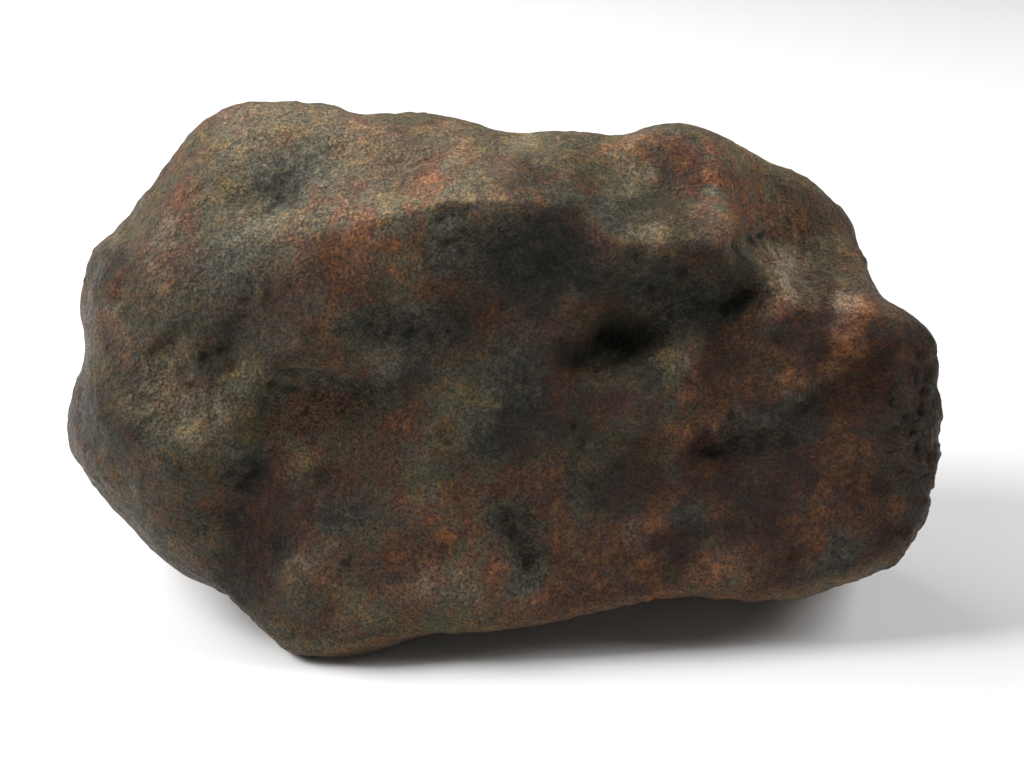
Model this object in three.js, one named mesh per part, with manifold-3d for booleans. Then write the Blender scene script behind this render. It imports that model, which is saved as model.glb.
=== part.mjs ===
// An iron meteorite: one solid lump of nickel-iron, longer than it is tall, that lies on three worn
// points of its underside. Air carved its skin into thumbprint hollows while it was still soft, and
// left rounded crests between them.
//
// Millimetres. +X runs along its length, +Z is up and the broad face looks towards -Y. The origin is
// the middle of its box, on the surface that it rests on.
//
// The lump is described square-on to its broad face, which leans back from upright: u runs along the
// face, v runs up it, and b goes into the lump, away from the face.

import * as THREE from "three";
import { mergeVertices } from "three/addons/utils/BufferGeometryUtils.js";
import Module from "manifold-3d";

// ---- Driving dimensions ----

const FACE_LEAN = THREE.MathUtils.degToRad(25); // the broad face leans back this far
const GROUND_DROP = 35.6; // the ground lies this far below the face's middle
const UNDERSIDE_CLEARANCE = 3.6; // the underside hangs this far above the ground between its feet

// Roundings: how wide the blend is where two surfaces meet.
const CORNER_ROUNDING = 12; // the broad face and the back
const RIM_ROUNDING = [15, 5]; // those two and the rim, at the left-hand and the right-hand end
const UNDERSIDE_ROUNDING = 7; // the underside and the rest
const CREST_ROUNDING = 4.5; // two facets of one face
const LIP_ROUNDING = 2.5; // the lip of a hollow of the broad face
const SCOOP_ROUNDING = 3; // the lip of a hollow of the other sides

// The skin is a geodesic sphere, whose corners are pushed along rays to where the surface is.
const GEODESIC_DETAIL = 21; // 20 * (detail + 1)^2 triangles
const RAY_AXES = [75, 34, 46]; // half length, depth and height of the body that the rays are spread over
const CORE_SHARE = 0.6; // size of the flat core that the rays start from, as a share of that body

// The rim, seen square-on to the broad face, anticlockwise from the right-hand end.
const RIM = [
  [73.8, 4], [70.3, 9], [65.2, 12.6], [64, 18.3], [62.8, 25.4], [59, 30.3], [54, 34], [47, 36.3],
  [38.5, 39.5], [31, 42.2], [26, 40.7], [21, 39.6], [12.4, 40.4], [0.3, 41.1], [-6.9, 43.7],
  [-13, 45], [-20.6, 44.2], [-28.5, 46], [-36, 46.5], [-42.8, 46.8], [-47.7, 44], [-52.6, 39.4],
  [-57.4, 33.6], [-62.2, 27.2], [-65.2, 24], [-69, 21.7], [-70.2, 18.2], [-70.4, 10], [-70, 0.4],
  [-73, -4], [-73.6, -9.4], [-72.2, -15.8], [-67, -20.9], [-59.4, -28.4], [-51, -35],
  [-42.8, -39.4], [-39, -44.5], [-35.5, -48.6], [-28.5, -49.6], [-19, -49], [-12.5, -49.5],
  [-4.5, -49], [19, -43], [33.8, -38.6], [44.7, -39.2], [50, -38.4], [64.4, -34],
  [69, -30.6], [73, -24.6], [75, -10.4], [75, -5.6], [74.2, -1],
];

// The crest across the broad face, left to right: [u, v, how far it stands proud of the face, slope of
// the shelf behind it, width of that shelf, slope of the wall behind the shelf]. A slope is how b
// changes along v.
const CREST = [
  [-76, 9, 0, 0.5, 20, 0.5], [-55, 13.5, 0, 0.65, 20, 0.6], [-41.5, 16.5, 0, 0.6, 20, 0.6],
  [-27, 20.5, 0.5, 0.8, 12, 0.7], [-12.5, 24.5, 3, 1.3, 10, 1.1], [-3.5, 26, 6, 1.5, 9, 1.4],
  [5.5, 25.5, 6.2, 1.5, 9, 1.3], [12, 25, 6, 1.35, 8, 0.9], [16.5, 21.5, 6.2, 1.25, 7, 0.7],
  [22.5, 18.5, 7, 1.25, 8, 0.6], [32.5, 18, 7, 1.2, 7, 0.5], [38, 17, 6.2, 1.15, 7, 0.5],
  [41.5, 15, 4.2, 1.25, 6.8, 0.45], [46, 11.5, 1.4, 1.45, 8, 0.3], [54, 10.5, 0.5, 1.5, 10, 0.22],
  [62, 10, 0.3, 1.5, 12, 0.2], [76, 8, 0, 1.2, 12, 0.3],
];
const CREST_REACH = 13; // the face is undercut this far below the crest

// Facets: at is a point on the facet as [u, v, b], and slope is how b changes along u and along v.
const FRONT_FACETS = [
  { at: [0, 0, -32], slope: [0.02, -0.17] }, // the broad face
  { at: [30, 0, -31], slope: [0.1, -0.17] }, // its right-hand part, which turns away a little
  { at: [-57, 12, -31], slope: [-0.75, 0] }, // the left side
  { at: [-66, 0, -25], slope: [-1.5, 0] }, // the left-hand end
  { at: [-52, -20, -29], slope: [-0.5, -0.4] }, // the lower left, which faces down
];
const BACK_FACETS = [
  { at: [0, 5, 31], slope: [0, -0.2] },
  { at: [-45, 10, 25], slope: [0.45, -0.15] },
  { at: [48, 5, 24], slope: [-0.5, 0] },
  { at: [0, 36, 18], slope: [0.05, -0.9] },
];

// Thumbprint hollows of the broad face and the top. reach is the half length and half width, turn the
// angle of the length above u, and lean how much deeper the upper side is than the lower.
const FRONT_HOLLOWS = [
  { at: [-12, 6.5], reach: [12, 6], turn: -8, depth: 2.8, lean: 1 },
  { at: [21.5, 4.8], reach: [10, 6.5], turn: 33, depth: 8.5, lean: 0.4 }, // the deepest
  { at: [29, 11.5], reach: [11, 7.5], turn: 20, depth: 5, lean: 0.3 },
  { at: [38.5, 12], reach: [8, 6], turn: 30, depth: 6, lean: 0.3 },
  { at: [33, 5.5], reach: [6.5, 5.5], turn: 20, depth: 2, lean: 0.6 },
  { at: [43, 20.3], reach: [3, 4.2], turn: -30, depth: 4, lean: 0 },
  { at: [-27, -10], reach: [15.5, 12], turn: 25, depth: 4.4, lean: 1 }, // under the arched brow
  { at: [-39.5, -16.5], reach: [6, 5], turn: 0, depth: 3, lean: 0.6 },
  { at: [-24.5, -19.5], reach: [8, 5.5], turn: -50, depth: 3, lean: 0.7 },
  { at: [-51, 0.5], reach: [15, 11], turn: -25, depth: 3.6, lean: -0.5 }, // above the left-hand ledge
  { at: [-34, 29.5], reach: [7, 3.8], turn: 40, depth: 4.2, lean: 0.4 },
  { at: [3.5, -26.5], reach: [13, 4.5], turn: -62, depth: 3.4, lean: 0 },
  { at: [3.5, -7.5], reach: [8, 20], turn: 0, depth: 2, lean: 0.3 },
  { at: [57, -4.5], reach: [15.5, 6.5], turn: 28, depth: 2.6, lean: 0.6 },
  { at: [37.5, -12], reach: [7.5, 5.5], turn: 30, depth: 3, lean: 0.8 },
  { at: [18.5, -20], reach: [13, 9], turn: 20, depth: 1.6, lean: 0.6 },
  { at: [-41, -28.5], reach: [11, 8], turn: -50, depth: 2.4, lean: 0.5 },
  { at: [-27.5, 33], reach: [14.5, 5.5], turn: -8, depth: 2, lean: 0 },
  { at: [-2.5, 34], reach: [12, 4.5], turn: 5, depth: 1.6, lean: 0 },
  { at: [25.5, 32], reach: [9, 5.5], turn: 0, depth: 2.4, lean: 0 },
];

// Broad swells between the hollows, stated in the same way.
const FRONT_SWELLS = [
  { at: [-55, -11], reach: [16, 6], turn: -25, height: 2.6 },
  { at: [-64, 11], reach: [6.5, 11], turn: 0, height: 2 },
  { at: [-9, -13], reach: [7.5, 18.5], turn: 0, height: 2.2 },
  { at: [-29, -31], reach: [7.5, 13], turn: 0, height: 2.2 },
  { at: [-7.5, -36], reach: [13, 5.5], turn: 10, height: 2.2 },
  { at: [25.5, -4.5], reach: [13, 9], turn: 0, height: 2.2 },
  { at: [44, 6.5], reach: [8, 6.5], turn: 0, height: 2.2 },
  { at: [24, -25.5], reach: [11, 6.5], turn: 15, height: 1.5 },
  { at: [55, -13], reach: [11, 6.5], turn: 20, height: 1.5 },
];

// Thumbprint hollows of the other sides: a spiral of so many places, of which the ones on the front of
// the lump and near the ground are left out. radius and depth are the least and the greatest.
const SCOOPS = { places: 60, firstB: 7, lowest: 14, radius: [10, 26], depth: [2, 4.5] };
const GOLDEN_ANGLE = Math.PI * (3 - Math.sqrt(5));

// The feet that it rests on, as [x, y] in the upright frame before it is centred. drop is how far the
// underside comes down there, and is under 0 for the hollows between the feet.
const FEET = [
  { at: [-27, -34], reach: [20, 14], turn: 0, drop: 8 },
  { at: [46, -15], reach: [15, 12], turn: 0, drop: 8 },
  { at: [-8, 20], reach: [16, 12], turn: 0, drop: 6.5 },
  { at: [26, -28], reach: [22, 12], turn: 12, drop: -4 }, // hollows between the feet
  { at: [-34, -8], reach: [18, 16], turn: 20, drop: -3 },
  { at: [22, 2], reach: [20, 14], turn: -15, drop: -3 },
];

// ---- Fields ----

// The larger of two values, with the corner between them rounded off.
function roundedMax(first, second, rounding) {
  const overlap = Math.max(rounding - Math.abs(first - second), 0) / rounding;
  return Math.max(first, second) + (overlap * overlap * rounding) / 4;
}

// How far out a point is from a patch's middle: 0 there and 1 at its reach. across is over 0 above it.
function placeIn({ at, reach, turn }, u, v) {
  const angle = THREE.MathUtils.degToRad(turn);
  const along = ((u - at[0]) * Math.cos(angle) + (v - at[1]) * Math.sin(angle)) / reach[0];
  const across = ((v - at[1]) * Math.cos(angle) - (u - at[0]) * Math.sin(angle)) / reach[1];
  return { out: along * along + across * across, across };
}

// The rim's radius in each direction around the middle of the face.
const RIM_STEPS = 1440;
const rimRadius = new Float64Array(RIM_STEPS);
const rimCurve = new THREE.CatmullRomCurve3(RIM.map(([u, v]) => new THREE.Vector3(u, v, 0)), true);
for (const point of rimCurve.getSpacedPoints(RIM_STEPS * 8)) {
  const turn = Math.atan2(point.y, point.x) / (2 * Math.PI);
  rimRadius[Math.floor((turn + 1) * RIM_STEPS) % RIM_STEPS] = Math.hypot(point.x, point.y);
}

function outsideRim(u, v) {
  const turn = Math.atan2(v, u) / (2 * Math.PI);
  return Math.hypot(u, v) - rimRadius[Math.floor((turn + 1) * RIM_STEPS) % RIM_STEPS];
}

function facetDepth(facet, u, v) {
  return facet.at[2] + facet.slope[0] * (u - facet.at[0]) + facet.slope[1] * (v - facet.at[1]);
}

function faceDepth(u, v) {
  let depth = -Infinity;
  for (const facet of FRONT_FACETS) {
    depth = roundedMax(depth, facetDepth(facet, u, v), CREST_ROUNDING);
  }
  return depth;
}

const crestStations = CREST.map(([u]) => u);
const crestValues = CREST.flatMap((station) => station.slice(1));
const crest = new THREE.CubicInterpolant(crestStations, crestValues, CREST[0].length - 1);

function frontDepth(u, v) {
  const [crestV, proud, shelfSlope, shelfWidth, wallSlope] = crest.evaluate(u);
  const undercut = THREE.MathUtils.clamp((crestV - v) / CREST_REACH, 0, 1);
  const face = faceDepth(u, v) - proud * (1 - undercut) ** 2;
  const edge = faceDepth(u, crestV) - proud;
  const shelf = edge + shelfSlope * (v - crestV);
  const wall = edge + shelfSlope * shelfWidth + wallSlope * (v - crestV - shelfWidth);
  const top = -roundedMax(-shelf, -wall, CREST_ROUNDING);
  let depth = roundedMax(face, top, CREST_ROUNDING);
  for (const swell of FRONT_SWELLS) {
    const { out } = placeIn(swell, u, v);
    depth -= swell.height * Math.max(1 - out, 0) ** 2;
  }
  let carved = 0;
  for (const hollow of FRONT_HOLLOWS) {
    const { out, across } = placeIn(hollow, u, v);
    if (out < 2) {
      const scooped = hollow.depth * (1 - out) * (1 + hollow.lean * across);
      carved = roundedMax(carved, scooped, LIP_ROUNDING);
    }
  }
  return depth + carved;
}

function backDepth(u, v) {
  let depth = -Infinity;
  for (const facet of BACK_FACETS) {
    depth = roundedMax(depth, -facetDepth(facet, u, v), CREST_ROUNDING);
  }
  return -depth;
}

// A point of the lump in the frame that it stands in, with z up.
function upright(u, v, b) {
  const y = b * Math.cos(FACE_LEAN) + v * Math.sin(FACE_LEAN);
  const z = v * Math.cos(FACE_LEAN) - b * Math.sin(FACE_LEAN) + GROUND_DROP;
  return [u, y, z];
}

function undersideHeight(x, y) {
  let height = UNDERSIDE_CLEARANCE;
  for (const foot of FEET) {
    const { out } = placeIn(foot, x, y);
    height -= foot.drop * Math.max(1 - out, 0) ** 2;
  }
  return height;
}

const scoops = []; // balls that are cut from the lump, as { centre, radius } in x = u, y = b and z = v

// Under 0 inside the lump and over 0 outside it.
function outside(u, v, b) {
  const [x, y, z] = upright(u, v, b);
  const along = THREE.MathUtils.clamp(u / RAY_AXES[0], -1, 1) / 2 + 0.5;
  let field = roundedMax(frontDepth(u, v) - b, b - backDepth(u, v), CORNER_ROUNDING);
  field = roundedMax(field, outsideRim(u, v), THREE.MathUtils.lerp(...RIM_ROUNDING, along));
  field = roundedMax(field, undersideHeight(x, y) - z, UNDERSIDE_ROUNDING);
  for (const { centre, radius } of scoops) {
    const apart = Math.hypot(u - centre.x, b - centre.y, v - centre.z);
    if (apart < radius + SCOOP_ROUNDING) {
      field = roundedMax(field, radius - apart, SCOOP_ROUNDING);
    }
  }
  return field;
}

// ---- The lump ----

// Where the surface is in a direction from the middle, as x = u, y = b and z = v. The ray starts on a
// flat core in the middle of the lump, so that it meets the broad face almost square-on.
function surfaceRay(direction) {
  const reach = direction.clone().multiply(new THREE.Vector3(...RAY_AXES));
  const start = new THREE.Vector3(reach.x * CORE_SHARE, 0, reach.z * CORE_SHARE);
  const ray = reach.clone().sub(start).normalize();
  const inside = (t) => outside(start.x + ray.x * t, start.z + ray.z * t, start.y + ray.y * t) < 0;
  let near = 110;
  while (!inside(near)) {
    near -= 1;
  }
  for (let step = 0.5; step > 1e-5; step /= 2) {
    if (inside(near + step)) {
      near += step;
    }
  }
  return { point: start.addScaledVector(ray, near), ray };
}

// Spreads the scoops along the spiral, each set into the surface as it was before any of them.
function spreadScoops() {
  const spread = [];
  for (let i = 0; i < SCOOPS.places; i += 1) {
    const height = 1 - (2 * i + 1) / SCOOPS.places;
    const across = Math.sqrt(1 - height * height);
    const turn = i * GOLDEN_ANGLE;
    const direction = new THREE.Vector3(Math.cos(turn) * across, height, Math.sin(turn) * across);
    const { point, ray } = surfaceRay(direction);
    const [, , z] = upright(point.x, point.z, point.y);
    if (point.y > SCOOPS.firstB && z > SCOOPS.lowest) {
      const radius = THREE.MathUtils.lerp(...SCOOPS.radius, (i * 0.37) % 1);
      const depth = THREE.MathUtils.lerp(...SCOOPS.depth, (i * 0.61) % 1);
      spread.push({ centre: point.addScaledVector(ray, radius - depth), radius });
    }
  }
  return spread;
}

function lumpGeometry() {
  const sphere = new THREE.IcosahedronGeometry(1, GEODESIC_DETAIL);
  sphere.deleteAttribute("normal");
  sphere.deleteAttribute("uv");
  const geometry = mergeVertices(sphere, 1e-5);
  const position = geometry.getAttribute("position");
  const direction = new THREE.Vector3();
  for (let i = 0; i < position.count; i += 1) {
    direction.fromBufferAttribute(position, i);
    const { point } = surfaceRay(direction);
    position.setXYZ(i, ...upright(point.x, point.z, point.y));
  }
  return geometry;
}

const wasm = await Module();
wasm.setup();

function solidFrom(geometry) {
  const vertProperties = geometry.getAttribute("position").array;
  const triVerts = new Uint32Array(geometry.index.array);
  return new wasm.Manifold(new wasm.Mesh({ numProp: 3, vertProperties, triVerts }));
}

// Wears the feet flat at the ground.
function wornFlat(geometry) {
  const ground = new THREE.BoxGeometry(400, 400, 50).translate(0, 0, -25);
  ground.deleteAttribute("normal");
  ground.deleteAttribute("uv");
  const worn = solidFrom(geometry).subtract(solidFrom(mergeVertices(ground))).getMesh();
  return new THREE.BufferGeometry()
    .setAttribute("position", new THREE.BufferAttribute(worn.vertProperties, 3))
    .setIndex(new THREE.BufferAttribute(worn.triVerts, 1));
}

scoops.push(...spreadScoops());
const geometry = wornFlat(lumpGeometry());
geometry.computeBoundingBox();
const middle = geometry.boundingBox.getCenter(new THREE.Vector3());
geometry.translate(-middle.x, -middle.y, 0);
geometry.computeVertexNormals();

const weatheredIron = new THREE.MeshStandardMaterial({ color: 0x4b4038, roughness: 0.6, metalness: 0.2 });
const meteorite = new THREE.Mesh(geometry, weatheredIron);
meteorite.name = "meteorite";

const part = new THREE.Group();
part.add(meteorite);
export default part;
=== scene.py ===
"""An iron meteorite with a weathered skin, lying on its three worn feet on a pale table.

Metres. +X runs along the lump, +Z is up, and its broad face looks towards -Y and leans back.
"""

import math

import bmesh
import bpy
import numpy as np
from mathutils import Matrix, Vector, noise


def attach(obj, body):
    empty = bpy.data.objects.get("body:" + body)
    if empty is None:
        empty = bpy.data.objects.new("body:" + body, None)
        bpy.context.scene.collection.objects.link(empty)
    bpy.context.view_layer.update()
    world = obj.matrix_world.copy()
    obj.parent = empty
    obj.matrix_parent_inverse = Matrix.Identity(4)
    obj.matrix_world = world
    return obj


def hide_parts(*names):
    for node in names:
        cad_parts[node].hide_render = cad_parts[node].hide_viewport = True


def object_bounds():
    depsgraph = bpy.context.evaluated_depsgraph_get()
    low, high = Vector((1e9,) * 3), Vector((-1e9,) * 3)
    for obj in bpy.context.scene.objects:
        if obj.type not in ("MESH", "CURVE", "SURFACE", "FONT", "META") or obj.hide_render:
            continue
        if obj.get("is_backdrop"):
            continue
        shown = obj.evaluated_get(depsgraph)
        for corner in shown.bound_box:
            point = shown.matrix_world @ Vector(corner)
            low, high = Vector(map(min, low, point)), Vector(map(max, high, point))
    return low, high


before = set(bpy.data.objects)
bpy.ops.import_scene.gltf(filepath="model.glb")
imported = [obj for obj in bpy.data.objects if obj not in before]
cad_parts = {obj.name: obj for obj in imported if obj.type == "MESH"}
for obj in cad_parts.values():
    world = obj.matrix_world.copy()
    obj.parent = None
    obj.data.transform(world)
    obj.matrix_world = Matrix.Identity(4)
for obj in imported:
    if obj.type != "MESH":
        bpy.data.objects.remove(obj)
cad_low, cad_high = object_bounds()


# ---- The meteorite ----
# One solid lump of nickel-iron. Air melted its skin into thumbprint hollows on the way down, and
# years in the ground then rusted that skin to a hard brown crust with red, ochre and grey-green
# stains. It lies loose on three points of its underside that have worn flat.

MM = 0.001
SKIN_GRID = 0.73 * MM  # the skin's mesh, fine enough for lumps and pits of 2 mm
SAME_PLACE = 0.01 * MM  # corners nearer than this are one corner

# The lump's true shape with its facets rounded off, in small even faces that relief can go on.
facets = bmesh.new()
facets.from_mesh(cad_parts["meteorite"].data)
bmesh.ops.remove_doubles(facets, verts=facets.verts, dist=SAME_PLACE)
lump = bpy.data.meshes.new("lump")
facets.to_mesh(lump)
facets.free()
skin = bpy.data.objects.new("meteorite_skin", lump)
bpy.context.scene.collection.objects.link(skin)
skin.modifiers.new("round_off", "SUBSURF").levels = 1
even_out = skin.modifiers.new("even_out", "REMESH")
even_out.mode = "VOXEL"
even_out.voxel_size = SKIN_GRID
seen = skin.evaluated_get(bpy.context.evaluated_depsgraph_get())
skin.data = bpy.data.meshes.new_from_object(seen)
skin.modifiers.clear()
skin.data.name = "meteorite_skin"
skin_mesh = skin.data
count = len(skin_mesh.vertices)


def of_vertices(what):
    """The vertices' places or normals, one row each."""
    flat = np.empty(count * 3)
    skin_mesh.vertices.foreach_get(what, flat)
    return flat.reshape(-1, 3)


edges = np.empty(len(skin_mesh.edges) * 2, int)
skin_mesh.edges.foreach_get("vertices", edges)
one_end, other_end = edges.reshape(-1, 2).T
neighbours = np.bincount(edges, minlength=count)


def softened(values, rounds):
    """Each value drawn towards the mean of its neighbours', so many times over."""
    for _ in range(rounds):
        total = np.bincount(one_end, values[other_end], count)
        total += np.bincount(other_end, values[one_end], count)
        values = 0.5 * values + 0.5 * total / neighbours
    return values


EVENING_ROUNDS = 3  # enough to take out the steps that the grid leaves
places = np.stack([softened(axis, EVENING_ROUNDS) for axis in of_vertices("co").T], 1) / MM
skin_mesh.vertices.foreach_set("co", (places * MM).ravel())
skin_mesh.update()
outward = of_vertices("normal")
spots = [Vector(place) for place in places]

# Where each vertex lies seen square-on to the broad face, in mm across it and up it from its middle,
# and how squarely it faces that way.
FACE_LEAN = math.radians(25)
MIDDLE_HEIGHT = 0.43 * (cad_high.z - cad_low.z) / MM  # the face's middle is a little below half-way
across = places[:, 0]
raised = places[:, 2] - MIDDLE_HEIGHT
up_face = places[:, 1] * math.sin(FACE_LEAN) + raised * math.cos(FACE_LEAN)
facing = outward[:, 2] * math.sin(FACE_LEAN) - outward[:, 1] * math.cos(FACE_LEAN)


def ramp(values, start, end):
    """0 up to start, 1 past end, and a soft S between them."""
    t = np.clip((values - start) / (end - start), 0, 1)
    return t * t * (3 - 2 * t)


def humps(size, octaves, shift):
    """A random value at each vertex, about -1 to 1, that swells and sinks every `size` mm. Each octave
    adds finer swells, and each shift gives another set of them."""
    moved = Vector((shift, shift, shift))
    return np.array([noise.fractal(s / size + moved, 1, 2, octaves) for s in spots])


def cups(size, reach, shift):
    """0 to 1, deepest in the middle of round cups `reach` mm in radius and about `size` mm apart."""
    moved = Vector((shift, shift, shift))
    away = np.array([noise.voronoi(s / size + moved)[0][0] for s in spots])
    return np.clip(1 - (away * size / reach) ** 2, 0, 1)


def near(u, v, reach_u, reach_v, turn):
    """1 at a place on the broad face, fading to 0 over an oval round it."""
    c, s = math.cos(math.radians(turn)), math.sin(math.radians(turn))
    along = ((across - u) * c + (up_face - v) * s) / reach_u
    beside = ((up_face - v) * c - (across - u) * s) / reach_v
    return np.exp(-(along**2) - beside**2) * on_face


def lip(line, edge, reach):
    """A step along a line on the broad face: 1 on its left-hand side and -1 on its right-hand side,
    fading to 0 over `reach` mm, and over the ends of the line. `edge` is how wide the step is."""
    line = np.array(line, float)
    lengths = np.hypot(*np.diff(line, axis=0).T)
    gone = np.concatenate([[0], np.cumsum(lengths)])
    nearest, signed, place = np.full(count, 1e9), np.zeros(count), np.zeros(count)
    for (u, v), (next_u, next_v), length, before in zip(line, line[1:], lengths, gone):
        du, dv = (next_u - u) / length, (next_v - v) / length
        along = np.clip((across - u) * du + (up_face - v) * dv, 0, length)
        away = np.hypot(across - u - along * du, up_face - v - along * dv)
        side = (up_face - v) * du - (across - u) * dv
        closer = away < nearest
        nearest = np.where(closer, away, nearest)
        signed = np.where(closer, np.sign(side) * away, signed)
        place = np.where(closer, (before + along) / gone[-1], place)
    taper = ramp(place, 0, 0.25) * ramp(place, 1, 0.75)  # over a quarter of the line at each end
    return np.tanh(signed / edge) * np.exp(-nearest / reach) * taper * on_face


on_face = ramp(facing, -0.1, 0.25)
rough = ramp(humps(17, 2, 3), -0.25, 0.3)

# Relief in mm. The crust is hammered all over with shallow cups, rough in some patches and smoother in
# others. Rust has bitten pits into it here and there and left lumps standing elsewhere.
relief = 0.5 * humps(9, 2, 5)
relief -= 0.45 * cups(6.5, 4.2, 7) * (0.35 + 0.65 * rough)
relief += 0.26 * humps(2.6, 2, 9) * (0.5 + 0.5 * rough)
PITS_AND_LUMPS = (
    (-0.20, (3.4, 1.4, 15), (12, 2, 13), 0.05, 0.4),  # the height, the cups or lumps, the patches that
    (-0.14, (2.1, 0.8, 17), (10, 1, 19), 0, 0.35),  # they lie in, and where those start and are full
    (0.38, (5.2, 1.4, 41), (11, 2, 43), -0.05, 0.3),
    (0.24, (3.1, 1.0, 45), (8, 2, 47), 0, 0.3),
)
for height, bumps, patches, start, full in PITS_AND_LUMPS:
    relief += height * cups(*bumps) * ramp(humps(*patches), start, full)

# Creases of the broad face, where one swell ends and drops to the next: the points of each line, with
# the higher side on its left, then the height of the step, its width and how far it reaches.
CREASES = (
    (((-31, 7.6), (-25.5, 8.8), (-20, 9), (-13, 8.2), (-8.5, 7.2), (-4.5, 10)), 1.2, 1.6, 5),
    (((-41, -11), (-39.5, -7.5), (-37.2, -3), (-34.8, 0.4), (-31.2, 1.6), (-26.5, 1.6), (-22, 0),
      (-17.5, -2.4), (-15, -4.5)), 1.6, 1.5, 5),  # the arched brow
    (((-38.5, 25.5), (-36, 28.5), (-32.5, 30.5), (-29, 31)), 0.6, 0.9, 4),  # the top left pit
    (((-57, 3.5), (-54.8, 4.6), (-52.5, 6.6), (-50.5, 7.4)), 0.6, 0.7, 3),
    (((33.5, -12.6), (36, -11), (39.5, -9.4), (44.7, -8.6), (51.5, -8.9)), 1.2, 1.2, 4),
    (((4.9, -34.2), (4.1, -29.5), (1.8, -25.3), (-0.9, -21.7)), 0.9, 1.0, 5),
    (((34, 9.5), (37, 12.2), (41, 14.4), (44.5, 14), (46, 11)), 1.1, 0.7, 3.5),
    (((-34.5, -31), (-36, -27), (-33.5, -23.5)), 0.5, 1.0, 5),
)
for line, height, edge, reach in CREASES:
    relief += height * lip(line, edge, reach)

# Single marks of the broad face: across, up, length, width, turn and height.
NOTCHES_AND_NUBS = (
    (24, 9.5, 5.5, 3, 33, 0.7),  # the deep hollow is shallow at its upper end
    (14.5, 3.4, 3, 1.6, 33, -0.6),
    (36, 24.5, 4, 3, -20, 1.9),
    (46, 15.5, 3, 5, 0, 1.2),
    (39.4, 21.2, 1.2, 2.4, 20, -2.0),  # the cleft behind the crest's right end
    (42.2, 22.8, 0.8, 0.8, 0, -0.7),
    (44, 23.6, 0.7, 0.8, 0, -0.6),
    (-8.3, 24.6, 1.3, 1.0, 20, -0.6),  # a rough knot of pits at the crest's nose
    (-6.3, 25.2, 1.0, 0.7, -15, -0.5),
    (-4.3, 25.9, 0.7, 1.2, -20, -0.6),
    (-6.4, 23.4, 1.6, 1.0, 20, 1.1),
    (-7.2, 27.2, 2.4, 0.9, 8, 0.5),
    (-4.2, 21.6, 2.2, 0.8, -10, 0.45),
    (-7.0, 21.2, 0.9, 0.6, 10, -0.6),
    (-23, 9.2, 1.0, 0.9, 0, 0.9),
    (-29.6, -4.4, 1.3, 0.9, 0, 0.9),
    (-51, 9.4, 1.9, 1.1, 0, 0.9),
    (-37, 13.5, 0.8, 1.7, 0, 0.7),
    (-33.2, -0.7, 1.4, 0.8, 5, 1.0),  # a nub and the pits round it under the brow
    (-35.8, -1.2, 1.1, 1.0, 60, -0.9),
    (-33.5, 1.2, 1.5, 0.7, 0, -0.7),
    (-32.4, -2.4, 1.3, 0.6, 0, -0.6),
    (-60.9, 12.8, 1.0, 1.3, 0, -0.6),
    (-60.2, 10.8, 1.3, 1.0, 40, 0.9),
    (-39.2, 14.9, 1.1, 1.4, 0, -0.4),
    (-39.6, 12.2, 1.1, 0.7, 0, -0.4),
    (-39.8, 9.7, 1.0, 0.7, 10, -0.4),
    (-46.6, 3.2, 1.1, 1.3, -30, -0.6),
    (-43.8, 4.2, 1.6, 0.8, 15, -0.4),
    (-43.4, 2.3, 1.3, 1.0, 0, 0.9),
    (-42, -15.7, 1.6, 1.0, 10, -0.7),
    (-39.3, -15.7, 1.5, 0.9, 30, -0.8),
    (-41, -17.6, 1.8, 0.8, -10, -0.7),
    (-27.6, -16, 2.0, 1.9, 0, -0.5),  # a shallow bowl and its rim
    (-26.6, -13.4, 2.2, 0.9, -20, 0.8),
    (-24.4, -29.9, 1.2, 1.0, 0, -0.5),
    (-24.8, -27.8, 1.4, 0.6, 0, 0.4),
    (-30.4, -4.9, 0.6, 1.3, -15, -0.6),
    (-30.6, -9.8, 1.6, 0.9, 30, 1.0),
    (-55, -6.6, 0.7, 0.6, 0, -0.5),
    (-50, -14.5, 0.8, 0.6, 0, -0.4),
    (35.1, -8.5, 1.7, 0.8, 50, 0.9),  # a bright nub over the darkest small pit
    (35.2, -12.2, 1.8, 1.2, -10, -0.9),
    (38.4, -5.8, 0.9, 1.0, 0, -0.7),
    (43.4, -7.2, 2.2, 1.0, 30, 0.6),
    (42, -3.8, 1.1, 0.9, 0, 0.5),
    (31.4, -0.4, 0.9, 0.9, 0, -0.5),
    (29.4, 0.4, 1.3, 1.0, 40, 0.5),
    (25.3, 13.8, 1.0, 0.9, 0, -0.9),
    (22.3, 18, 1.5, 1.8, 20, -0.7),
    (27.6, 18.4, 1.2, 1.6, 10, -0.7),
    (30, 17, 1.0, 1.8, 0, -0.6),
    (12.8, -8, 0.8, 0.9, 0, -0.4),
    (14.2, -11, 0.7, 1.5, -20, -0.4),
    (-33.3, -42, 0.7, 1.8, 0, -0.7),
)
for u, v, length, width, turn, height in NOTCHES_AND_NUBS:
    relief += height * near(u, v, length, width, turn)

# The right-hand edge has flaked: thin scales have come away there and left ragged steps.
flaked = ramp(across, 60, 71) * ramp(-up_face, -14, -4)
scales = humps(4.5, 3, 23)
relief += flaked * (0.55 * (ramp(scales, -0.1, 0.04) - 0.6) + 0.3 * humps(2.2, 1, 27))

# Nothing sticks out below the feet, and their worn flats stay flat: relief starts 0.3 mm above the
# table and is whole from 3 mm up.
relief *= 0.05 + 0.95 * ramp(places[:, 2], 0.3, 3)
places += outward * relief[:, None]
places[:, 2] = np.maximum(places[:, 2], 0)
skin_mesh.vertices.foreach_set("co", (places * MM).ravel())
skin_mesh.update()
skin_mesh.shade_smooth()


def depth_below(rounds):
    """How far each vertex lies below the skin round it, in mm. More rounds look further round it."""
    blurred = np.stack([softened(axis, rounds) for axis in places.T], 1)
    return np.einsum("ij,ij->i", blurred - places, of_vertices("normal"))


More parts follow.
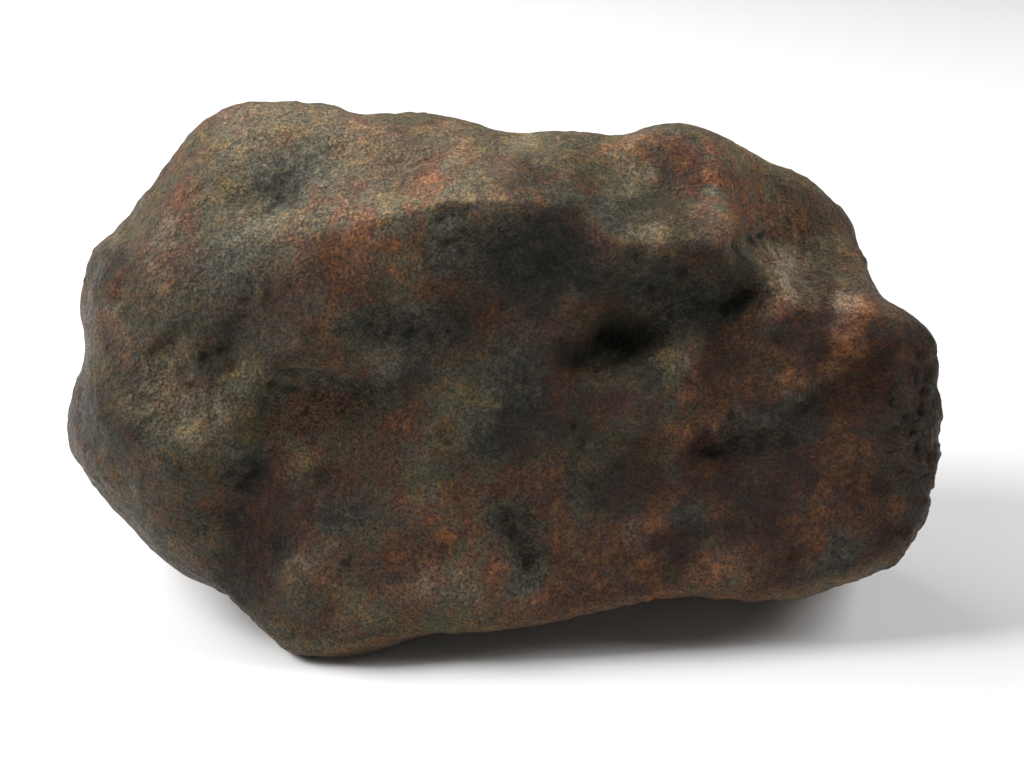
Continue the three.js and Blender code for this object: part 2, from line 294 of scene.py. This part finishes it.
def keep(name, values):
    """Stores a value for each vertex, which the finish reads by this name."""
    kept = skin_mesh.attributes.new(name, "FLOAT", "POINT")
    kept.data.foreach_set("value", np.clip(values, 0, 1).astype(np.float32))


# Stains have ragged outlines, so their places are looked up with the skin pulled about by 1 or 2 mm.
RAGGED = 4
ragged_across = across + RAGGED * humps(7, 3, 31)
ragged_up = up_face + RAGGED * humps(7, 3, 33)


def stains(marks):
    """0 to 1: how strongly a list of stains, each across, up and reach in mm, colours each vertex."""
    clear = np.ones(count)
    for u, v, reach in marks:
        away = np.hypot(ragged_across - u, (ragged_up - v) / 1.15) / reach  # a little taller than wide
        clear *= 1 - np.exp(-(away**2)) * on_face
    return 1 - clear


# 0.5 is level skin, and both go to 1 below it: a hollow over 5 mm or so, a pit over 1 mm.
HOLLOW_ROUNDS, PIT_ROUNDS = 61, 3
keep("hollow", 0.5 + 0.42 * depth_below(HOLLOW_ROUNDS))
keep("pit", 0.5 + 2.6 * depth_below(PIT_ROUNDS))

# The broad face's stains: across, up and reach in mm. Rust is red and orange, and varnish is a thin
# grey-green glaze that grew in the ground. The pale stains are dust on ledges, and painted light too:
# painted glints, and light thrown up from the card along the lower edge.
RUST_STAINS = (
    (-10, 31, 3), (-51, 27.5, 3.5), (-50, 21, 3), (-40, 24, 1.6), (-24, 28, 3.5), (-25.5, 18.5, 4),
    (-14, 24, 2.5), (-22, 15, 4.5), (-7, 15, 3.5), (7, 30, 2), (19, 38, 2), (28, 35, 5.5),
    (43, 28.5, 3.5), (51, 26, 3.2), (16, 29, 2.8), (13, 22.5, 3.5), (2, 11, 4), (-24, -0.7, 3),
    (-16, -7.5, 2.6), (-37.5, -20, 4), (-29, -23.7, 1.4), (-6, -19.5, 3), (19, -3, 3),
    (10, -3.5, 4), (2, -18.6, 2.4), (9, -21, 3), (11.5, -27, 4.5), (0.5, -33, 2.8),
    (26.7, -22, 3.4), (55, -11, 3), (48.5, -26.7, 4.5), (37, -20, 3), (34, -1, 2.6),
    (47.5, -3, 2.4), (65, -1, 2.4), (-60.8, 13.7, 3), (-56, 22, 4), (46, -4, 14), (58, -20, 10),
    (34, -26, 9), (10, -28, 8), (-42, -22, 9), (-12, -29, 7), (34, 33, 6), (21, -31, 7), (60, 2, 7),
)
VARNISH_STAINS = (
    (-33, 33.5, 5), (-8, 21, 4.5), (2, 21.5, 5), (-41, 18, 4.5), (-19, 9.5, 4), (-12, 8, 4),
    (-18.5, -1, 3), (-34, 0, 3), (-40, -14.5, 4), (-26, -21.7, 3), (2.5, -24, 3), (5, -31, 2.6),
    (4, 0, 5), (-2, -11.6, 3.5), (24.5, 0, 4), (42.5, -8, 4), (49.5, -7.5, 3), (56.5, -29, 4),
    (5, 18, 6), (13, 17, 5), (20, 26, 3), (36, 29, 3), (33, 11, 5), (24.5, 15.5, 4.5),
    (12, 27.5, 3), (31.5, -22.5, 3),
)
DUST_AND_LIGHT_STAINS = (
    (-57, -0.5, 3), (-50, -3, 4), (-43, -3.5, 3.5), (47, 17, 4), (-12, -34, 3.5), (-4.5, -34.5, 3),
    (-31, -30, 2.2), (-27, -33.7, 1.6), (-53, 21, 4), (22, -26.5, 1.8), (30, 0, 1.6),
    (35.5, -8, 1.4), (55, 9, 3.5),
)

# Painted shade and painted light, and no marks of the real skin: the painted shade patches darken the
# broad face where it came out too pale, and the painted light patches lighten it where it came out too
# dark.
PAINTED_SHADE_PATCHES = (
    (28, 29.5, 3), (37, 15.5, 3.5), (29, 17.5, 3), (21, 16.5, 3.5), (13.5, 1.5, 3.5),
    (21.5, 5.5, 3), (37, -14, 3.5), (37, -14, 3), (29, 29, 5), (31, 26, 4), (-41, 5.6, 3),
    (-56.7, -6, 3), (-33.5, -25.5, 3.5), (52.5, -6.5, 3), (-10, -29.5, 3), (5.7, 33, 3.5),
    (29, -29.5, 3), (4, 18, 6), (9, 20, 7), (15, 16, 4), (29, 15.5, 4), (38, 14.5, 4), (35, 9.5, 4),
    (20.5, 11, 5), (25, 4.5, 3.5), (37, 16, 4), (37, -13, 3), (31.4, -28, 4), (-34.5, -27, 3.5),
    (51, 7.5, 3), (51.5, 13, 3.5), (14, 0, 6), (13, 2.5, 4), (9, -7, 5), (24, 3, 4), (17, 2.5, 4),
    (4, -9, 4), (38, 1, 4), (12, -1, 4), (57, -3, 4), (52, 14, 4), (49.4, 7, 4), (48, -13.5, 4),
    (-12.5, -0.5, 4), (-4, 10, 4), (24, -17, 6), (18, -21, 4), (36, -15, 5), (43, -21, 6),
    (52, -9, 5), (64, 2, 5), (65, -8, 5), (63, -18, 5), (63, -27, 4), (-37, -16, 3), (-40, -28, 6),
    (-36, -22, 5), (-34, -24, 3), (-43, -35, 5), (-67, -6, 6), (-60, -8, 4), (-63, 18, 4),
    (46, -30, 5), (28, 29, 4), (28.3, 29, 3), (-33, 31, 4), (-44, 2, 3),
)
PAINTED_LIGHT_PATCHES = (
    (5, 40, 4), (-6, 37, 5), (22, 37, 5), (-10, -22, 4), (-41, -2.5, 3), (-25, -2.5, 3.5),
    (-17.5, 1.7, 3), (-33, 21, 4), (-25, 25, 4), (-17, 24.5, 4), (-49, 4, 3), (-49, -2, 3),
    (29, -10, 3), (44.7, 29, 4), (45, 19, 4), (47, 16, 4), (44.5, 13, 3), (50, 18, 4), (-14, 26, 3),
    (37.5, -34, 4), (-1, -35.5, 4), (-36, 40, 9), (-24, 39, 7), (-25, 9, 4), (-52, -2, 4),
    (-40, -2, 4), (-31, -6.5, 4), (-9, 27, 4), (0, 26, 5), (-15.5, 20, 5), (-14, 14, 4),
    (-42, 18, 5), (-38, 21, 4), (36, 25.5, 5), (25, 20, 3), (17.5, 18.5, 3), (42, 34, 6),
    (56, 8, 5), (-2, -33, 6), (-4, -4, 4), (-6, -9, 4), (-2, -22, 4), (15, 9, 4), (18, 6.5, 3),
    (-46.5, -12, 4), (-43, -14, 4), (44.7, 15.7, 4), (36, 24.5, 4), (57, 7, 3), (48.6, -2, 3),
    (-1, -35, 4), (5, -36, 4), (-8, -37, 4), (37.7, -34, 4), (-9, 26.6, 3), (1, 26, 3),
    (-25.5, -2.5, 3), (-41, -2.2, 3), (-1, -6, 3), (-30, -14, 3), (-53, 16.5, 3), (-61, 8.7, 4),
    (27, -25, 3), (54, 1, 3), (-28, -30, 5), (-22, -38, 5), (-12, -35, 5), (-9, -23, 4), (30, 1, 3),
    (37, -32, 4),
)
# Painted shade on the flaked right end, and painted light on the faces that turn downwards, all along
# but at the left end.
painted_shade_right_end = 0.9 * ramp(across, 62, 70)
painted_light_lower_edge = ramp(-outward[:, 2], -0.15, 0.5) * ramp(across, -42, -30)
# Faces that turn upwards: painted light makes them paler, dust lies thicker on them and rust thinner.
keep("facing_up_light_and_dust", ramp(outward[:, 2], 0.45, 0.95))
keep("painted_shade", np.maximum(stains(PAINTED_SHADE_PATCHES), painted_shade_right_end))
keep("painted_light", np.maximum(stains(PAINTED_LIGHT_PATCHES), painted_light_lower_edge))
keep("rust_stain", stains(RUST_STAINS))
keep("varnish_stain", stains(VARNISH_STAINS))
keep("dust_and_light_stain", stains(DUST_AND_LIGHT_STAINS))


def linear(shade):
    """An sRGB hex colour as the linear colour that a shader takes."""
    parts = [int(shade[i : i + 2], 16) / 255 for i in (1, 3, 5)]
    return (*(p / 12.92 if p <= 0.04045 else ((p + 0.055) / 1.055) ** 2.4 for p in parts), 1)


def add_node(tree, kind, settings, inputs):
    """Adds a node. An input is a plain value, or the output of another node to link it to."""
    made = tree.nodes.new("ShaderNode" + kind)
    for name, value in settings.items():
        setattr(made, name, value)
    for name, value in inputs.items():
        if isinstance(value, bpy.types.NodeSocket):
            tree.links.new(value, made.inputs[name])
        else:
            made.inputs[name].default_value = value
    return made


# Rusted iron crust: iron oxide grown in place, never polished. It looks dry and matte, with a dull
# gleam where the air's melt still shows, and sparkles where single grains catch the light.
crust = bpy.data.materials.new("rusted_iron_crust")
crust.use_nodes = True
tree = crust.node_tree
tree.nodes.clear()
where = add_node(tree, "TexCoord", {}, {}).outputs["Object"]

# What the finish goes by at each point, by name: the values kept above, random patterns and grains.
KEPT = ("hollow", "pit", "facing_up_light_and_dust", "painted_shade", "painted_light", "rust_stain", "varnish_stain", "dust_and_light_stain")
read = {}
for name in KEPT:
    read[name] = add_node(tree, "Attribute", {"attribute_name": name}, {}).outputs["Fac"]
PATTERNS = (
    ("grit", 0.45, 3, 0.8, 0.0),  # its spots' size in mm, then detail, roughness and warp
    ("speckle", 1.5, 4, 0.65, 0.0),
    ("blotch", 6, 5, 0.65, 0.5),
    ("other_blotch", 3.2, 4, 0.65, 0.5),
    ("drift", 26, 4, 0.55, 0.3),
    ("other_drift", 17, 5, 0.6, 0.6),
)
for name, size, detail, roughness, warp in PATTERNS:
    inputs = {"Vector": where, "Scale": 1 / (size * MM), "Detail": detail}
    inputs |= {"Roughness": roughness, "Distortion": warp}
    read[name] = add_node(tree, "TexNoise", {}, inputs).outputs["Fac"]

# Real grains of crust are finer than this, perhaps 0.1 mm, which is too fine to show. They are drawn a
# third of a millimetre across, and each has a shade, a tint and a gloss of its own.
GRAIN = 0.36 * MM
grains = add_node(tree, "TexVoronoi", {}, {"Vector": where, "Scale": 1 / GRAIN}).outputs
drawn = add_node(tree, "SeparateColor", {}, {"Color": grains["Color"]}).outputs
read |= {"grain_shade": drawn["Red"], "grain_tint": drawn["Green"], "grain_gloss": drawn["Blue"]}
read["from_grain_middle"] = grains["Distance"]


def summed(weights):
    """Adds up what the finish goes by, each by its weight."""
    total = 0.0
    for name, weight in weights.items():
        term = {0: read[name], 1: weight, 2: total}
        total = add_node(tree, "Math", {"operation": "MULTIPLY_ADD"}, term).outputs[0]
    return total


def amount(weights, low, high, at_low=0.0, at_high=1.0):
    """How much of something there is: `at_low` where the sum is up to low, `at_high` past high."""
    inputs = {"Value": summed(weights), "From Min": low, "From Max": high}
    inputs |= {"To Min": at_low, "To Max": at_high}
    smooth = {"interpolation_type": "SMOOTHSTEP"}
    return add_node(tree, "MapRange", smooth, inputs).outputs["Result"]


# What each kind of weathering goes by. The tint of the grains makes its rim start grain by grain.
RUST = {
    "rust_stain": 0.18, "other_drift": 0.4, "blotch": 0.5, "other_blotch": 0.45, "speckle": 0.40,
    "grain_tint": 0.03, "facing_up_light_and_dust": -0.04,
}
OCHRE = {"other_blotch": 0.7, "speckle": 0.5, "grain_tint": 0.04}
VARNISH = {
    "varnish_stain": 0.36, "drift": 0.5, "other_blotch": 0.4, "hollow": 0.45, "speckle": 0.3,
    "grain_tint": -0.03,
}
# Pale dust, and painted light: painted glints, a paler top, and light thrown up from the card along the
# lower edge.
DUST_AND_LIGHT = {
    "dust_and_light_stain": 0.3, "facing_up_light_and_dust": 0.16, "other_blotch": 0.35, "speckle": 0.5, "grain_shade": 0.08,
}
BROWN = {"other_drift": 0.5, "blotch": 0.5, "rust_stain": -0.1}

FACTOR, FIRST, SECOND, RESULT = 0, 6, 7, 2  # the colour sockets of a Mix node
TWO_TONES = (
    ("red rust", "#4a2c22", "#4b3322", "other_blotch", 0.42, 0.58),
    ("varnish", "#33322c", "#403e32", "speckle", 0.40, 0.62),
)
mottled = {}
for name, tone, other_tone, sorted_by, low, high in TWO_TONES:
    tones = {FACTOR: amount({sorted_by: 1}, low, high)}
    tones |= {FIRST: linear(tone), SECOND: linear(other_tone)}
    mottled[name] = add_node(tree, "Mix", {"data_type": "RGBA"}, tones).outputs[RESULT]

# The layers from the inside out: the colour, what its amount goes by, the sums at which it starts and is
# full, and how strongly it then covers what is under it.
LAYERS = (
    (linear("#483a2c"), BROWN, 0.44, 0.54, 1),
    (linear("#38332a"), {"speckle": 1}, 0.42, 0.60, 0.7),  # darker specks
    (linear("#5a4929"), OCHRE, 0.60, 0.74, 0.85),
    (mottled["red rust"], RUST, 0.85, 1.04, 0.9),
    (linear("#643f22"), RUST, 1.00, 1.15, 0.85),  # orange, where there is most rust
    (mottled["varnish"], VARNISH, 0.84, 1.02, 0.9),
    # pale dust and painted light
    (linear("#5f574b"), DUST_AND_LIGHT, 0.60, 0.90, 0.5),
    (linear("#100d0a"), {"pit": 1}, 0.58, 0.9, 0.55),  # painted shade: near-black in the pits
)
skin_colour = linear("#443f30")  # olive crust
for colour, weights, low, high, strongest in LAYERS:
    laid = {FACTOR: amount(weights, low, high, 0, strongest)}
    laid |= {FIRST: skin_colour, SECOND: colour}
    skin_colour = add_node(tree, "Mix", {"data_type": "RGBA"}, laid).outputs[RESULT]

# Each grain has its own shade. Then come painted shade, which is darker, and painted light, which is
# paler on its patches and on faces that turn upwards.
SHADES = (
    ({"grain_shade": 0.22, "grit": 1}, 0.40, 0.85, 0.45, 1.7),  # the sum's range, then the shade's
    ({"speckle": 1}, 0.3, 0.7, 0.84, 1.2),
    ({"painted_shade": 1}, 0, 1, 1, 0.45),
    ({"painted_light": 1}, 0, 1, 1, 1.8),
    ({"facing_up_light_and_dust": 1}, 0, 1, 1, 1.9),
)
for shade in SHADES:
    scaled = {0: skin_colour, "Scale": amount(*shade)}
    skin_colour = add_node(tree, "VectorMath", {"operation": "SCALE"}, scaled).outputs["Vector"]

# Height in mm: the rounded grains, the grit between them and rougher humps of a millimetre or two.
read["roundness"] = amount({"from_grain_middle": 1}, 0, 0.7, 1, 0)
height = summed({"roundness": 0.06, "grit": 0.55, "speckle": 1.2, "other_blotch": 1})
dents = {"Height": height, "Distance": MM, "Strength": 1.0}
raised_grain = add_node(tree, "Bump", {}, dents).outputs["Normal"]
surface = {
    "Base Color": skin_colour,
    "Roughness": amount({"grain_gloss": 1}, 0, 1, 0.66, 0.36),  # dry rust to a dull gleam
    "Normal": raised_grain,
}
finish = add_node(tree, "BsdfPrincipled", {}, surface)
finish.inputs["Specular IOR Level"].default_value = 0.2  # rust is porous, so it gleams little
add_node(tree, "OutputMaterial", {}, {"Surface": finish.outputs["BSDF"]})
skin_mesh.materials.clear()
skin_mesh.materials.append(crust)

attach(skin, "root")
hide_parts("meteorite")


# ---- The table ----
# A sheet of matte white card, which runs level under the lump and curls up far behind it, so that
# no edge of it shows.

CARD_LEVEL = 0.9  # it is level this far out, in metres
CARD_CURL = 0.5  # and then curls up with this radius
CURL_STEPS, ROUND_STEPS = 12, 96
card_mesh = bmesh.new()
profile = [(0.0, 0.0), (CARD_LEVEL, 0.0)]
for step in range(1, CURL_STEPS + 1):
    angle = math.radians(90) * step / CURL_STEPS
    profile.append(
        (CARD_LEVEL + CARD_CURL * math.sin(angle), CARD_CURL * (1 - math.cos(angle)))
    )
rim = [card_mesh.verts.new((r, 0, z)) for r, z in profile]
outline = [card_mesh.edges.new(pair) for pair in zip(rim, rim[1:])]
turned = {"cent": (0, 0, 0), "axis": (0, 0, 1), "angle": math.tau, "steps": ROUND_STEPS}
bmesh.ops.spin(card_mesh, geom=rim + outline, use_merge=True, **turned)
bmesh.ops.remove_doubles(card_mesh, verts=card_mesh.verts, dist=SAME_PLACE)
bmesh.ops.recalc_face_normals(card_mesh, faces=card_mesh.faces)
card_data = bpy.data.meshes.new("white_card")
card_mesh.to_mesh(card_data)
card_mesh.free()
card_data.shade_smooth()
card = bpy.data.objects.new("white_card", card_data)
bpy.context.scene.collection.objects.link(card)
white_card = bpy.data.materials.new("matte_white_card")
white_card.use_nodes = True
paper = white_card.node_tree.nodes["Principled BSDF"].inputs
paper["Base Color"].default_value = linear("#f3f3f3")
paper["Roughness"].default_value = 0.85
card_data.materials.append(white_card)
card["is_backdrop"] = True


# ---- The light ----
# A soft window-like lamp on the left, a weaker one on the right and a faint one behind the lump.
# The card throws enough of their light back to fill the shadows.

bpy.context.scene.view_settings.view_transform = "Standard"
room = bpy.data.worlds.new("white_room")
room.use_nodes = True
room.node_tree.nodes["Background"].inputs["Color"].default_value = (1, 1, 1, 1)
room.node_tree.nodes["Background"].inputs["Strength"].default_value = 0.03
bpy.context.scene.world = room
LAMPS_AIM = Vector((0, 0, 0.03))
LAMPS = (
    ("left_lamp", (-0.50, 0.0, 0.45), 0.35, 6.5),  # name, place and side in m, power in W
    ("right_lamp", (0.50, 0.0, 0.45), 0.35, 3.0),
    ("back_lamp", (-0.25, 0.43, 0.45), 0.35, 1.3),
)
for name, place, side, power in LAMPS:
    soft_light = bpy.data.lights.new(name, "AREA")
    soft_light.size = side
    soft_light.energy = power
    lamp = bpy.data.objects.new(name, soft_light)
    bpy.context.scene.collection.objects.link(lamp)
    lamp.location = place
    lamp.rotation_euler = (LAMPS_AIM - lamp.location).to_track_quat("-Z", "Y").to_euler()


# ---- The camera ----
# Square-on to the broad face, so it looks down by the angle that the face leans back.

CAMERA_AIM = Vector((2.9, -2.1, 35.6)) * MM
CAMERA_DISTANCE = 0.3451
towards_camera = Vector((0, -math.cos(FACE_LEAN), math.sin(FACE_LEAN)))
lens = bpy.data.cameras.new("camera")
lens.lens = 70
lens.sensor_width = 36
camera = bpy.data.objects.new("camera", lens)
bpy.context.scene.collection.objects.link(camera)
camera.location = CAMERA_AIM + towards_camera * CAMERA_DISTANCE
camera.rotation_euler = (-towards_camera).to_track_quat("-Z", "Y").to_euler()
bpy.context.scene.camera = camera

low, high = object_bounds()
